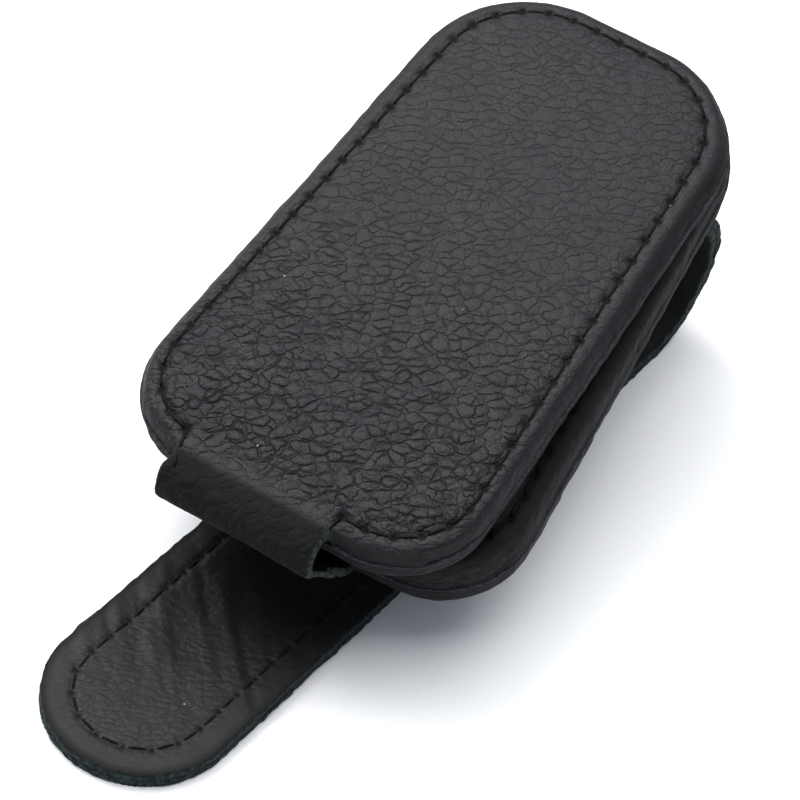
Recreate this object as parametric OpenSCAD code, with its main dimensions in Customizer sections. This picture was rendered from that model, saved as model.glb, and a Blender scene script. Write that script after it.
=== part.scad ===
// Magnetic leather clip: a padded flap closes on a padded base by hidden magnets, the two
// joined by a leather fold at one end, and a leather-covered U spring under the base ends in
// a long round tongue. Millimetres. +X runs from the tongue to the bend, +Z up, Y = 0 on the
// strap's middle. The lower arm lies flat on Z = 0, the body slopes up towards the bend.

/* [Body] */
// length of the flap and of the base
body_len = 87; // [70:0.5:110]
// width at the fold end
near_w = 50; // [40:0.5:60]
// width at the free end
far_w = 43.4; // [36:0.5:60]
// corner radius at the fold end
near_r = 13; // [8:0.5:18]
// corner radius at the free end
far_r = 15.7; // [8:0.5:18]
// thickness of the flap over its seam
flap_t = 5.6; // [4:0.2:8]
// thickness of the base over its seam
base_t = 8; // [6:0.2:12]
// leather thickness
skin = 1.1; // [0.8:0.1:1.6]
// gap between flap and base at the free end
shut_gap = 0.3; // [0.1:0.1:1]
// how far the flap dips towards the free end, measured from the base
flap_dip = 1.9; // [0:0.1:4]

/* [Clip strap] */
// strap width
strap_w = 25; // [18:0.5:32]
// thickness of the strap, steel and both leathers
strap_t = 2.4; // [2:0.1:4]
// outer radius of the U bend
bend_r = 12.6; // [9:0.1:16]
// angle between the lower arm and the base
gape = 14.7; // [8:0.1:20]
// distance from the tongue's tip to the middle of the bend
arm_len = 105.7; // [80:0.1:120]
// turn of the base on the strap, seen from above
body_turn = 8.9; // [0:0.1:10]
// distance from the middle of the base back to the fixing
fix_back = 13.95; // [0:0.5:20]
// distance from the first rivet to the start of the bend
fix_to_bend = 37.76; // [30:0.01:45]
// sideways offset of the fixing
fix_side = -0.42; // [-5:0.1:5]
// how far the flap lies back from the base, towards the fold
flap_back = 1.83; // [0:0.01:4]
// how far the flap lies to the side of the base
flap_side = 1.12; // [-2:0.01:2]
// turn of the flap on the base, seen from above
flap_turn = 3.6; // [0:0.1:6]
// distance between the two rivets
rivet_gap = 14; // [8:0.5:20]
// steel strip width
steel_w = 17; // [10:0.5:22]
// steel strip thickness
steel_t = 0.5; // [0.3:0.05:0.8]

/* [Small parts] */
// distance of the seam thread from the edge
seam_in = 3.1; // [2:0.1:5]
// thread thickness
thread = 0.5; // [0.3:0.05:0.8]
// magnet diameter
magnet_d = 12; // [8:0.5:16]
// distance between the two magnets of a pair
magnet_gap = 34; // [20:1:50]
// fold leather width
fold_w = 23; // [18:0.5:34]
// sideways offset of the fold from the middle of the flap
fold_side = 2; // [-2:0.1:2]

/* [Hidden] */
$fn = 0;
c = 0.05;
big = 200;
inner = (strap_t - steel_t) / 2;
bend_x = fix_to_bend * cos(gape) + bend_r * sin(gape);
fix_z = bend_r * (1 + cos(gape)) - fix_to_bend * sin(gape);
upper_end = -10;
fold_top_r = 3.7;
fold_low_r = 5;
flap_mid_z = base_t / 2 + flap_t / 2 + shut_gap + body_len / 2 * tan(flap_dip);
flap_cut = -41;
base_cut = -35.1;
rim_cut = -40.35;

// ---- frames: the mount arm, the base and the flap each sit in the one before ----
module on_mount() {
    translate([0, 0, fix_z])
        rotate([0, -gape, 0])
            children();
}

module on_base() {
    on_mount()
        rotate([0, 0, body_turn])
            translate([fix_back, -fix_side, base_t / 2])
                children();
}

// from the base's frame to the fold's, which is set and turned as the flap is
module to_fold() {
    translate([-flap_back, flap_side, 0])
        rotate([0, 0, -flap_turn])
            children();
}

module on_flap() {
    on_base()
        to_fold()
            translate([0, 0, flap_mid_z])
                rotate([0, flap_dip, 0])
                    children();
}

// ---- body outline: four round corners, wider at the fold end ----
near_x = -body_len / 2 + near_r;
far_x = body_len / 2 - far_r;
near_y = near_w / 2 - near_r;
far_y = far_w / 2 - far_r;
side = [far_x - near_x, far_y - near_y];
// direction of the long side's outward normal
side_a = atan2(side[1], side[0]) + acos((near_r - far_r) / norm(side));

function polar(p, r, a) = p + r * [cos(a), sin(a)];

// points along an arc, both ends included
function arc_points(p, r, a0, a1, n) = [for (i = [0:n]) polar(p, r, a0 + (a1 - a0) * i / n)];

module outline(inset) {
    rn = near_r - inset;
    rf = far_r - inset;
    polygon(concat(
        arc_points([far_x, far_y], rf, 0, side_a, 14),
        arc_points([near_x, near_y], rn, side_a, 180, 14),
        arc_points([near_x, -near_y], rn, 180, 360 - side_a, 14),
        arc_points([far_x, -far_y], rf, 360 - side_a, 360, 14)));
}

module plate(inset, z0, z1) {
    translate([0, 0, z0])
        linear_extrude(z1 - z0)
            outline(inset);
}

// half of a round-rimmed puck, radius r, height e, flat side down
module half_puck(r, e) {
    rotate_extrude($fn = 56)
        intersection() {
            union() {
                square([r - e, e]);
                translate([r - e, 0])
                    circle(r = e, $fn = 28);
            }
            square([r, e]);
        }
}

// the upper half of a pad with a fully round edge, its flat side on z = 0
module half_pad(inset, e) {
    hull() {
        for (s = [-1, 1]) {
            translate([near_x, s * near_y, 0])
                half_puck(near_r - inset, e);
            translate([far_x, s * far_y, 0])
                half_puck(far_r - inset, e);
        }
    }
}

// half a leather shell, flat side on z = 0, with the groove that its seam thread lies in
module half_skin(e) {
    difference() {
        half_pad(0, e);
        translate([0, 0, -0.01])
            half_pad(skin, e - skin + 0.01);
        seam_groove(e, thread + 0.2);
    }
}

// the shallow groove that the seam thread lies in
module seam_groove(z, w) {
    translate([0, 0, z - thread])
        linear_extrude(2)
            difference() {
                outline(seam_in - w / 2);
                outline(seam_in + w / 2);
            }
}

// a box that spans the fold's width at the fold end, up to x
module fold_box(x, play) {
    translate([-big, fold_side - fold_w / 2 - play, -big / 2])
        cube([big + x, fold_w + 2 * play, big]);
}

// ---- flap ----
module flap_outer_leather() {
    color("#2c2c2f")
        on_flap()
            difference() {
                half_skin(flap_t / 2);
                fold_box(flap_cut, c);
            }
}

module flap_inner_leather() {
    color("#2a2a2d")
        on_flap()
            translate([0, 0, -0.02])
                mirror([0, 0, 1])
                    half_skin(flap_t / 2);
}

flap_in = flap_t / 2 - skin;

module flap_board() {
    color("#8a7a5c")
        on_flap()
            difference() {
                plate(skin + 1.8, -flap_in + c, -flap_in + 1.2);
                magnet_pair(-5, 5, c);
            }
}

module flap_padding() {
    color("#d8d6cc")
        on_flap()
            plate(skin + 1.8, -flap_in + 1.25, flap_in - c);
}

module magnet_pair(z0, z1, play) {
    for (s = [-1, 1])
        translate([s * magnet_gap / 2, 0, z0])
            cylinder(d = magnet_d + 2 * play, h = z1 - z0);
}

module flap_magnets() {
    color("#b8bcc0")
        on_flap()
            magnet_pair(-flap_in + c, -flap_in + 1.2, 0);
}

// the seam thread, upper and lower run
module seam_threads(e) {
    for (s = [-1, 1])
        translate([0, 0, s > 0 ? e - thread + c : -e + c])
            linear_extrude(thread - 2 * c)
                difference() {
                    outline(seam_in - thread / 2);
                    outline(seam_in + thread / 2);
                }
}

module flap_stitching() {
    color("#111113")
        on_flap()
            difference() {
                seam_threads(flap_t / 2);
                fold_box(0, 0.6);
            }
}

// ---- fold: one band from the flap's top, round the end, to the underside of the base ----
// a point of the flap's side view, given in the fold's side view
function on_side(p) = [p[0] * cos(flap_dip) + p[1] * sin(flap_dip),
    flap_mid_z - p[0] * sin(flap_dip) + p[1] * cos(flap_dip)];
fold_a = on_side([-44.2, flap_t / 2 - fold_top_r]);
fold_b = [-36.7, -base_t / 2 + fold_low_r];
fold_d = fold_b - fold_a;
fold_n = atan2(fold_d[1], fold_d[0]) - acos((fold_top_r - fold_low_r) / norm(fold_d));

// the band's side view: along the flap, round its edge, straight down, round under the base
module fold_profile() {
    top_a = 90 - flap_dip;
    turn_a = fold_n + 360;
    polygon(concat(
        [on_side([flap_cut - c, flap_t / 2])],
        arc_points(fold_a, fold_top_r, top_a, turn_a, 10),
        arc_points(fold_b, fold_low_r, turn_a, 270, 8),
        [[base_cut - c, -base_t / 2], [base_cut - c, -base_t / 2 + skin]],
        arc_points(fold_b, fold_low_r - skin, 270, turn_a, 8),
        arc_points(fold_a, fold_top_r - skin, turn_a, top_a, 10),
        [on_side([flap_cut - c, flap_t / 2 - skin])]));
}

module fold_leather() {
    color("#29292b")
        on_base()
            to_fold()
                translate([0, fold_side + fold_w / 2, 0])
                    rotate([90, 0, 0])
                        linear_extrude(fold_w)
                            fold_profile();
}

// ---- base ----
base_in = base_t / 2 - skin;

module base_upper_leather() {
    color("#26262a")
        on_base()
            difference() {
                translate([0, 0, 0.02])
                    half_skin(base_t / 2);
                to_fold()
                    fold_box(rim_cut, c);
            }
}

module base_lower_leather() {
    color("#242428")
        on_base()
            difference() {
                mirror([0, 0, 1])
                    half_skin(base_t / 2);
                to_fold()
                    fold_box(base_cut, c);
                rivet_holes();
            }
}

// the two rivets' holes, in the base's frame
module rivet_holes() {
    translate([-fix_back, fix_side, -base_t / 2])
        rotate([0, 0, -body_turn])
            for (s = [0, 1])
                translate([s * rivet_gap, 0, -6])
                    cylinder(r = 1.5 + c, h = 12);
}

module base_board() {
    color("#9a9ea2")
        on_base()
            difference() {
                plate(base_t / 2 + c, -base_in + c, -base_in + 1.2);
                rivet_holes();
                to_fold()
                    fold_box(base_cut, 0.4);
            }
}

module base_padding() {
    color("#d8d6cc")
        on_base()
            difference() {
                plate(base_t / 2 + c, -base_in + 1.25, base_in - c);
                to_fold()
                    magnet_pair(base_in - 2.05 - c, base_in + 1, c);
                translate([-fix_back, fix_side, -base_in + 1])
                    rotate([0, 0, -body_turn])
                        for (s = [0, 1])
                            translate([s * rivet_gap, 0, 0])
                                cylinder(r = 3.6, h = 1.1);
                to_fold()
                    fold_box(base_cut, 0.4);
            }
}

module base_magnets() {
    color("#b8bcc0")
        on_base()
            to_fold()
                magnet_pair(base_in - 2.05, base_in - c, 0);
}

module base_stitching() {
    color("#111113")
        on_base()
            difference() {
                seam_threads(base_t / 2);
                to_fold()
                    fold_box(0, 0.6);
            }
}

// ---- clip strap ----
module strip(x0, x1, w, tip) {
    if (tip)
        translate([x0 + w / 2, 0])
            circle(d = w);
    translate([tip ? x0 + w / 2 : x0, -w / 2])
        square([x1 - x0 - (tip ? w / 2 : 0), w]);
}

tip_x = bend_x - arm_len;
steel_side = (strap_w - steel_w) / 2;

module arm_thread(w) {
    difference() {
        strip(tip_x + 3.9 - w / 2, bend_x - 3, strap_w - 7.8 + w, true);
        strip(tip_x + 3.9 + w / 2, bend_x, strap_w - 7.8 - w, true);
    }
}

module arm_outer_leather() {
    color("#232326")
        difference() {
            linear_extrude(inner + steel_t)
                strip(tip_x, bend_x, strap_w, true);
            translate([0, 0, inner])
                linear_extrude(2)
                    strip(tip_x + steel_side - c, bend_x + 1, steel_w + 2 * c, true);
            translate([0, 0, -1])
                linear_extrude(1 + 0.4)
                    arm_thread(thread + 0.2);
        }
}

module arm_steel() {
    color("#9aa0a4")
        translate([0, 0, inner + 0.02])
            linear_extrude(steel_t - 0.04)
                strip(tip_x + steel_side, bend_x, steel_w, true);
}

module arm_inner_leather() {
    color("#3a3a3e")
        difference() {
            translate([0, 0, inner + steel_t + 0.01])
                linear_extrude(inner - 0.01)
                    strip(tip_x, bend_x, strap_w, true);
            translate([0, 0, strap_t - 0.4])
                linear_extrude(1)
                    arm_thread(thread + 0.2);
        }
}

module arm_stitching() {
    color("#111113") {
        translate([0, 0, strap_t - 0.38])
            linear_extrude(0.36)
                arm_thread(thread);
        translate([0, 0, 0.04])
            linear_extrude(0.34)
                arm_thread(thread);
    }
}

// a ring section about the bend, from the lower arm round to the mount arm
module bend_band(r1, r0, w) {
    translate([bend_x + 0.02, w / 2, bend_r])
        rotate([90, 0, 0])
            linear_extrude(w)
                difference() {
                    circle(r = r1);
                    circle(r = r0);
                    polygon([[0, 0], [0, -big], [-big, -big], [-big, big * cos(gape)],
                        [-big * sin(gape), big * cos(gape)]]);
                }
}

module bend_outer_leather() {
    color("#1d2a28")
        bend_band(bend_r, bend_r - inner, strap_w);
}

module bend_steel() {
    color("#9aa0a4")
        bend_band(bend_r - inner - 0.02, bend_r - inner - steel_t + 0.02, steel_w);
}

module bend_inner_leather() {
    color("#2c2c30")
        bend_band(bend_r - inner - steel_t, bend_r - strap_t, strap_w);
}

// the mount arm, flat against the underside of the base, in its own frame
module mount_strip(z0, z1, w, x0) {
    on_mount()
        difference() {
            translate([0, 0, z0])
                linear_extrude(z1 - z0)
                    strip(x0, fix_to_bend - 0.02, w, false);
            for (s = [0, 1])
                translate([s * rivet_gap, 0, -5])
                    cylinder(r = 1.5 + c, h = 10);
        }
}

module mount_outer_leather() {
    color("#232326")
        mount_strip(-inner, -0.03, strap_w, upper_end);
}

module mount_steel() {
    color("#9aa0a4")
        mount_strip(-inner - steel_t + 0.02, -inner - 0.02, steel_w, upper_end + 2);
}

module mount_inner_leather() {
    color("#2c2c30")
        mount_strip(-strap_t, -inner - steel_t, strap_w, upper_end);
}

module rivets() {
    color("#8f9498")
        on_mount()
            for (s = [0, 1])
                translate([s * rivet_gap, 0, 0]) {
                    translate([0, 0, -strap_t - 0.3])
                        cylinder(r = 1.5, h = strap_t + 0.3 + skin + 1.25);
                    translate([0, 0, skin + 1.25])
                        cylinder(r = 3.4, h = 0.8);
                }
}

module rivet_caps() {
    color("#8f9498")
        on_mount()
            for (s = [0, 1])
                translate([s * rivet_gap, 0, -strap_t - c])
                    mirror([0, 0, 1])
                        difference() {
                            intersection() {
                                cylinder(r = 3.6, h = 1.1);
                                translate([0, 0, -6.4])
                                    sphere(r = 7.5);
                            }
                            translate([0, 0, -1])
                                cylinder(r = 1.5 + c, h = 1.35);
                        }
}

flap_outer_leather();
flap_inner_leather();
flap_board();
flap_padding();
flap_magnets();
flap_stitching();
fold_leather();
base_upper_leather();
base_lower_leather();
base_board();
base_padding();
base_magnets();
base_stitching();
arm_outer_leather();
arm_inner_leather();
arm_steel();
arm_stitching();
bend_outer_leather();
bend_inner_leather();
bend_steel();
mount_outer_leather();
mount_inner_leather();
mount_steel();
rivets();
rivet_caps();
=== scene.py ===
# %% [markdown]
# # A magnetic leather clip
# The object is a padded flap that shuts on a padded base, one leather skin that runs round the
# end of both, and a sprung strap under the base that ends in a round tongue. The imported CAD
# model is loaded first and never moved. The leather is then built round it, piece by piece.

import math

import bpy
import numpy as np
from mathutils import Matrix, Vector
from mathutils.bvhtree import BVHTree
from mathutils.kdtree import KDTree


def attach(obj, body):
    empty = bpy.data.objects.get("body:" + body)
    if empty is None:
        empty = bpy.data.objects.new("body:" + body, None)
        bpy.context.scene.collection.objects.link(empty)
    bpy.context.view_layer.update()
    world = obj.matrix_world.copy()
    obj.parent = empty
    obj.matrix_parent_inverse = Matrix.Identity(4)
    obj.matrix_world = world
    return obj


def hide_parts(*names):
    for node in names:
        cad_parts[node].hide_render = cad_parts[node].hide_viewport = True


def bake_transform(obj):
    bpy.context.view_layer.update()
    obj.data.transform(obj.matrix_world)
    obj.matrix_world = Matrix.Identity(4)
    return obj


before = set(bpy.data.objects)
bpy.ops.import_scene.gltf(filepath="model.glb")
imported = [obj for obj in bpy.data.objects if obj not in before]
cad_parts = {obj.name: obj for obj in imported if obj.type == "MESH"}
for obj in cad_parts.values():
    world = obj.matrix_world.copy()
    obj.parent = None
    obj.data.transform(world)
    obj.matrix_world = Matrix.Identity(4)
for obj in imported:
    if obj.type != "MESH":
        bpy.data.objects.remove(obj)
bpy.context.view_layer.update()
MM = 0.001

# %% [markdown]
# The body does not lie square to the ground. The strap's arm under the base climbs by the gape
# angle, the body is set a little askew on it, and the flap dips towards its free end. Each of
# these is a frame that sits in the one before, so a piece can be modelled flat and square at the
# origin and then carried to its place by one matrix.

# %% Sizes and the three tilted frames
BODY_LEN = 87.0
NEAR_W, FAR_W = 50.0, 43.4
NEAR_R, FAR_R = 13.0, 15.7
FLAP_T, BASE_T = 5.6, 8.0
SHUT_GAP, FLAP_DIP = 0.3, math.radians(1.9)
STRAP_W, BEND_R, ARM_LEN = 25.0, 12.6, 105.7
GAPE, BODY_TURN, FLAP_TURN = math.radians(14.7), math.radians(8.9), math.radians(3.6)
FIX_BACK, FIX_SIDE, FIX_TO_BEND = 13.95, -0.42, 37.76
FLAP_BACK, FLAP_SIDE = 1.83, 1.12
FOLD_W, FOLD_SIDE = 22.6, 2.0
BEND_X = FIX_TO_BEND * math.cos(GAPE) + BEND_R * math.sin(GAPE)
FIX_Z = BEND_R * (1 + math.cos(GAPE)) - FIX_TO_BEND * math.sin(GAPE)
FLAP_Z = BASE_T / 2 + FLAP_T / 2 + SHUT_GAP + BODY_LEN / 2 * math.tan(FLAP_DIP)


def move(x, y, z):
    return Matrix.Translation(Vector((x, y, z)) * MM)


MOUNT = move(0, 0, FIX_Z) @ Matrix.Rotation(-GAPE, 4, "Y")
BASE = MOUNT @ Matrix.Rotation(BODY_TURN, 4, "Z") @ move(FIX_BACK, -FIX_SIDE, BASE_T / 2)
FOLD = BASE @ move(-FLAP_BACK, FLAP_SIDE, 0) @ Matrix.Rotation(-FLAP_TURN, 4, "Z")
FLAP = FOLD @ move(0, 0, FLAP_Z) @ Matrix.Rotation(FLAP_DIP, 4, "Y")
print("middle of the flap, mm:", [round(v / MM, 1) for v in FLAP.translation])

# %% [markdown]
# Four small helpers keep the steps below short. Operators act on whatever is selected, so
# everything is let go first, and faces are then picked in code by where they are.


# %% Helpers for selecting and finishing
def only(*objs):
    """Object mode, with just these objects selected and the first one active."""
    if bpy.context.object and bpy.context.object.mode == "EDIT":
        bpy.ops.object.mode_set(mode="OBJECT")
    bpy.ops.object.select_all(action="DESELECT")
    for o in objs:
        o.select_set(True)
    bpy.context.view_layer.objects.active = objs[0]
    return objs[0]


def pick(obj, kind, test):
    """Edit mode on obj, with the vertices, edges or faces whose middle passes the test."""
    only(obj)
    bpy.ops.object.mode_set(mode="EDIT")
    bpy.ops.mesh.select_mode(type=kind)
    bpy.ops.mesh.select_all(action="DESELECT")
    bpy.ops.object.mode_set(mode="OBJECT")
    me = obj.data
    parts = {"VERT": me.vertices, "EDGE": me.edges, "FACE": me.polygons}[kind]
    for p in parts:
        if kind == "EDGE":
            a, b = (me.vertices[i].co for i in p.vertices)
            p.select = bool(test((a + b) / 2 / MM, (b - a).normalized()))
        elif kind == "FACE":
            p.select = bool(test(p.center / MM, p.normal))
        else:
            p.select = bool(test(p.co / MM, p.normal))
    bpy.ops.object.mode_set(mode="EDIT")


def place(obj, matrix):
    """Carries a finished mesh to its place, and leaves the object at the origin, unturned."""
    only(obj)
    obj.matrix_world = matrix
    bpy.ops.object.transform_apply(location=True, rotation=True, scale=True)
    return obj


def apply_all(obj):
    only(obj)
    for m in list(obj.modifiers):
        bpy.ops.object.modifier_apply(modifier=m.name)
    return obj


def points(obj):
    co = np.empty(len(obj.data.vertices) * 3)
    obj.data.vertices.foreach_get("co", co)
    return co.reshape(-1, 3) / MM


def normals(obj):
    no = np.empty(len(obj.data.vertices) * 3)
    obj.data.vertices.foreach_get("normal", no)
    return no.reshape(-1, 3)


def set_points(obj, co):
    obj.data.vertices.foreach_set("co", (co * MM).ravel())
    obj.data.update()


def note(obj, name, values):
    """Stores one number, or one vector, for each vertex, for a material to read."""
    kind = "FLOAT_VECTOR" if np.ndim(values) == 2 else "FLOAT"
    layer = obj.data.attributes.get(name) or obj.data.attributes.new(name, kind, "POINT")
    key = "vector" if kind == "FLOAT_VECTOR" else "value"
    layer.data.foreach_set(key, np.asarray(values, np.float32).ravel())


# %% [markdown]
# The body's outline has four round corners and is narrower at its free end. Stitches, puffed
# borders and gathers all follow it, so one function measures how far inside the outline a point
# lies, and another walks along a line that keeps a fixed distance from the edge.

# %% The outline as a measure
NEAR_X, FAR_X = -BODY_LEN / 2 + NEAR_R, BODY_LEN / 2 - FAR_R
NEAR_Y, FAR_Y = NEAR_W / 2 - NEAR_R, FAR_W / 2 - FAR_R
SIDE = np.array([FAR_X - NEAR_X, FAR_Y - NEAR_Y])
SIDE_A = math.atan2(SIDE[1], SIDE[0]) + math.acos((NEAR_R - FAR_R) / np.hypot(*SIDE))


def outline(inset, step=0.25, trim=0.0):
    """Points every step mm, anticlockwise from the middle of the fold end, and outward normals.
    trim is how much shorter the pad is at its fold end."""
    rn, rf, nx = NEAR_R - inset, FAR_R - inset, NEAR_X + trim
    arcs = [((nx, -NEAR_Y), rn, math.pi, 2 * math.pi - SIDE_A),
            ((FAR_X, -FAR_Y), rf, 2 * math.pi - SIDE_A, 2 * math.pi),
            ((FAR_X, FAR_Y), rf, 0, SIDE_A), ((nx, NEAR_Y), rn, SIDE_A, math.pi)]
    path = [np.array([[nx - rn, 0.0]])]
    for (cx, cy), r, a0, a1 in arcs:
        a = np.linspace(a0, a1, 40)
        path.append(np.c_[cx + r * np.cos(a), cy + r * np.sin(a)])
    path.append(np.array([[nx - rn, 0.0]]))
    path = np.vstack(path)
    run = np.r_[0, np.cumsum(np.hypot(*np.diff(path, axis=0).T))]
    at = np.arange(0, run[-1], step)
    p = np.c_[np.interp(at, run, path[:, 0]), np.interp(at, run, path[:, 1])]
    d = np.roll(p, -1, 0) - np.roll(p, 1, 0)
    d /= np.linalg.norm(d, axis=1)[:, None]
    return p, np.c_[d[:, 1], -d[:, 0]], at


def edge_measure(xy, trim=0.0):
    """For each point: how far inside the outline it is, and how far along the edge."""
    p, n, at = outline(0, trim=trim)
    inside, along = np.empty(len(xy)), np.empty(len(xy))
    for i in range(0, len(xy), 4000):
        part = xy[i:i + 4000]
        gap = ((part[:, None] - p[None]) ** 2).sum(-1)
        k = gap.argmin(1)
        inside[i:i + 4000] = -((part - p[k]) * n[k]).sum(1)
        along[i:i + 4000] = at[k]
    return inside, along


print("length of the edge, mm:", round(outline(0)[2][-1], 1))

# %% [markdown]
# The camera looks down on the clip from the tongue's side, from about 0.43 m with a long lens, so
# parallel edges stay nearly parallel. It is rolled a little, as a hand-held camera is.

# %% Camera
target = Vector((-11.8, -3.85, 25.8)) * MM
azimuth, elevation, roll = math.radians(-61.1), math.radians(46.3), math.radians(11.6)
back = Vector((math.sin(azimuth) * math.cos(elevation), -math.cos(azimuth) * math.cos(elevation),
               math.sin(elevation)))
bpy.ops.object.camera_add(location=target + back * 0.4332)
camera = bpy.context.object
camera.name = "camera"
camera.rotation_mode = "QUATERNION"
camera.rotation_quaternion = ((-back).to_track_quat("-Z", "Y").to_matrix()
                              @ Matrix.Rotation(roll, 3, "Z")).to_quaternion()
camera.data.lens, camera.data.sensor_width = 157.5, 36.0
camera.data.clip_start, camera.data.clip_end = 0.01, 10
bpy.context.scene.camera = camera
print("camera at, mm:", [round(v / MM) for v in camera.location])

# %% [markdown]
# Flap and base are made the same way. On the real object a board and foam are wrapped in two
# leathers, and the wrapped edge is round. A cube can be given that shape with bevels: its far
# end is narrowed, its four upright edges are rounded to the corner radii, and its top and bottom
# edges are then rounded all the way to the seam.


# %% A pad with four round corners and a round rim
def pad_form(name, thick, top_r, low_r, shrink=0.0, trim=0.0):
    """top_r and low_r are the radii of the rim above and below the seam."""
    bpy.ops.mesh.primitive_cube_add(size=MM)
    pad = bpy.context.object
    pad.name = name
    pad.scale = (BODY_LEN - 2 * shrink, NEAR_W - 2 * shrink, thick)
    only(pad)
    bpy.ops.object.transform_apply(scale=True)
    pick(pad, "VERT", lambda c, n: c.x > 0)
    bpy.ops.transform.resize(value=(1, FAR_W / NEAR_W, 1), center_override=(0, 0, 0))
    bpy.ops.object.mode_set(mode="OBJECT")
    for sign, r in ((-1, NEAR_R), (1, FAR_R)):
        pick(pad, "EDGE", lambda c, d: abs(d.z) > 0.9 and c.x * sign > 0)
        bpy.ops.mesh.bevel(offset=r * MM, segments=16, affect="EDGES")
        bpy.ops.object.mode_set(mode="OBJECT")
    if trim:
        pick(pad, "VERT", lambda c, n: c.x < 0)
        bpy.ops.transform.translate(value=(trim * MM, 0, 0))
        bpy.ops.object.mode_set(mode="OBJECT")
    for sign, r in ((1, top_r), (-1, low_r)):
        pick(pad, "EDGE", lambda c, d: abs(d.z) < 0.1 and c.z * sign > thick * 0.45)
        bpy.ops.mesh.bevel(offset=r * MM, segments=8, affect="EDGES")
        bpy.ops.object.mode_set(mode="OBJECT")
    return pad


# %% [markdown]
# At the fold end the flap's top leather runs on as a band 25 mm wide: over the edge, slanting
# down across the gap, and in under the base. A short cross-section is extruded step by step
# along the band's side view, as one would pull a strip of leather along.


# %% The fold's band
def on_side(x, z):
    """A point of the flap's side view, in the fold's side view."""
    return np.array([x * math.cos(FLAP_DIP) + z * math.sin(FLAP_DIP),
                     FLAP_Z - x * math.sin(FLAP_DIP) + z * math.cos(FLAP_DIP)])


FOLD_SKIN = 1.35
TOP_R, LOW_R = 3.7, 5.0
fold_a = on_side(-44.2, FLAP_T / 2 - TOP_R)
fold_b = np.array([-36.7, -BASE_T / 2 + LOW_R])
slant = fold_b - fold_a
fold_n = math.atan2(slant[1], slant[0]) - math.acos((TOP_R - LOW_R) / np.hypot(*slant)) \
    + 2 * math.pi


def band_path(depth):
    """The band's side view from the flap round to the base, depth mm below its outer face."""
    def arc(p, r, a0, a1, n):
        a = np.linspace(a0, a1, n)
        return np.c_[p[0] + (r - depth) * np.cos(a), p[1] + (r - depth) * np.sin(a)]
    top = math.pi / 2 - FLAP_DIP
    start = [on_side(-36.0, FLAP_T / 2 - depth)]
    upper = arc(fold_a, TOP_R, top, fold_n, 10)
    lower = arc(fold_b, LOW_R, fold_n, 1.5 * math.pi, 8)
    between = [upper[-1] + (lower[0] - upper[-1]) * t for t in (0.25, 0.5, 0.75)]
    return np.vstack([start, upper, between, lower, [[-32.1, -BASE_T / 2 + depth]]])


def fold_band(width, middle):
    path = band_path(FOLD_SKIN / 2)
    bpy.ops.mesh.primitive_plane_add(size=MM)
    band = bpy.context.object
    band.name = "fold_band"
    only(band)
    bpy.ops.object.mode_set(mode="EDIT")
    bpy.ops.mesh.select_all(action="SELECT")
    bpy.ops.mesh.delete(type="ONLY_FACE")
    bpy.ops.object.mode_set(mode="OBJECT")
    # one edge of the plane is kept, stretched to the band's width, and extruded along the path
    pick(band, "VERT", lambda c, n: c.x > 0)
    bpy.ops.mesh.delete(type="VERT")
    bpy.ops.object.mode_set(mode="OBJECT")
    for v in band.data.vertices:
        v.co = Vector((path[0][0], middle + math.copysign(width / 2, v.co.y), path[0][1])) * MM
    pick(band, "VERT", lambda c, n: True)
    for p, q in zip(path[:-1], path[1:]):
        bpy.ops.mesh.extrude_region_move(
            TRANSFORM_OT_translate={"value": Vector((q[0] - p[0], 0, q[1] - p[1])) * MM})
    bpy.ops.object.mode_set(mode="OBJECT")
    m = band.modifiers.new("skin", "SOLIDIFY")
    m.thickness, m.offset = FOLD_SKIN * MM, 0
    return apply_all(band)

# %% [markdown]
# Leather is never even. A smooth random field, the same on every run, gives the slow waves of a
# stuffed surface and the quick gathers where it is pulled round an edge.


# %% A repeatable random field
def field(p, size, seed):
    """Smooth values from -1 to 1 that change over about size mm. p is an array of points."""
    rng = np.random.default_rng(seed)
    lattice = rng.uniform(-1, 1, (32, 32, 32))
    q = np.asarray(p, float) / size + 100.0
    if q.shape[1] == 2:
        q = np.c_[q, np.zeros(len(q))]
    i = np.floor(q).astype(int)
    f = q - i
    f = f * f * (3 - 2 * f)
    out = np.zeros(len(q))
    for dx in (0, 1):
        for dy in (0, 1):
            for dz in (0, 1):
                w = ((f[:, 0] if dx else 1 - f[:, 0]) * (f[:, 1] if dy else 1 - f[:, 1])
                     * (f[:, 2] if dz else 1 - f[:, 2]))
                out += w * lattice[(i[:, 0] + dx) % 32, (i[:, 1] + dy) % 32, (i[:, 2] + dz) % 32]
    return out


# %% [markdown]
# The swell of the foam comes from a cloth simulation. A coarse copy of the pad, ten times its
# size so that the cloth settings of a cushion suit it, is held along the seam and the stitch
# line and blown up by a little pressure. How far each of its points moved is then handed on to
# the fine mesh, and no point may move further than the cap.

# %% Cloth simulation of a pad's swell
SEAM_IN = 3.1
PITCH = 3.55
BASE_TRIM = 2.0


def trim_of(obj):
    return BASE_TRIM if obj.name.startswith("base") else 0.0


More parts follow.
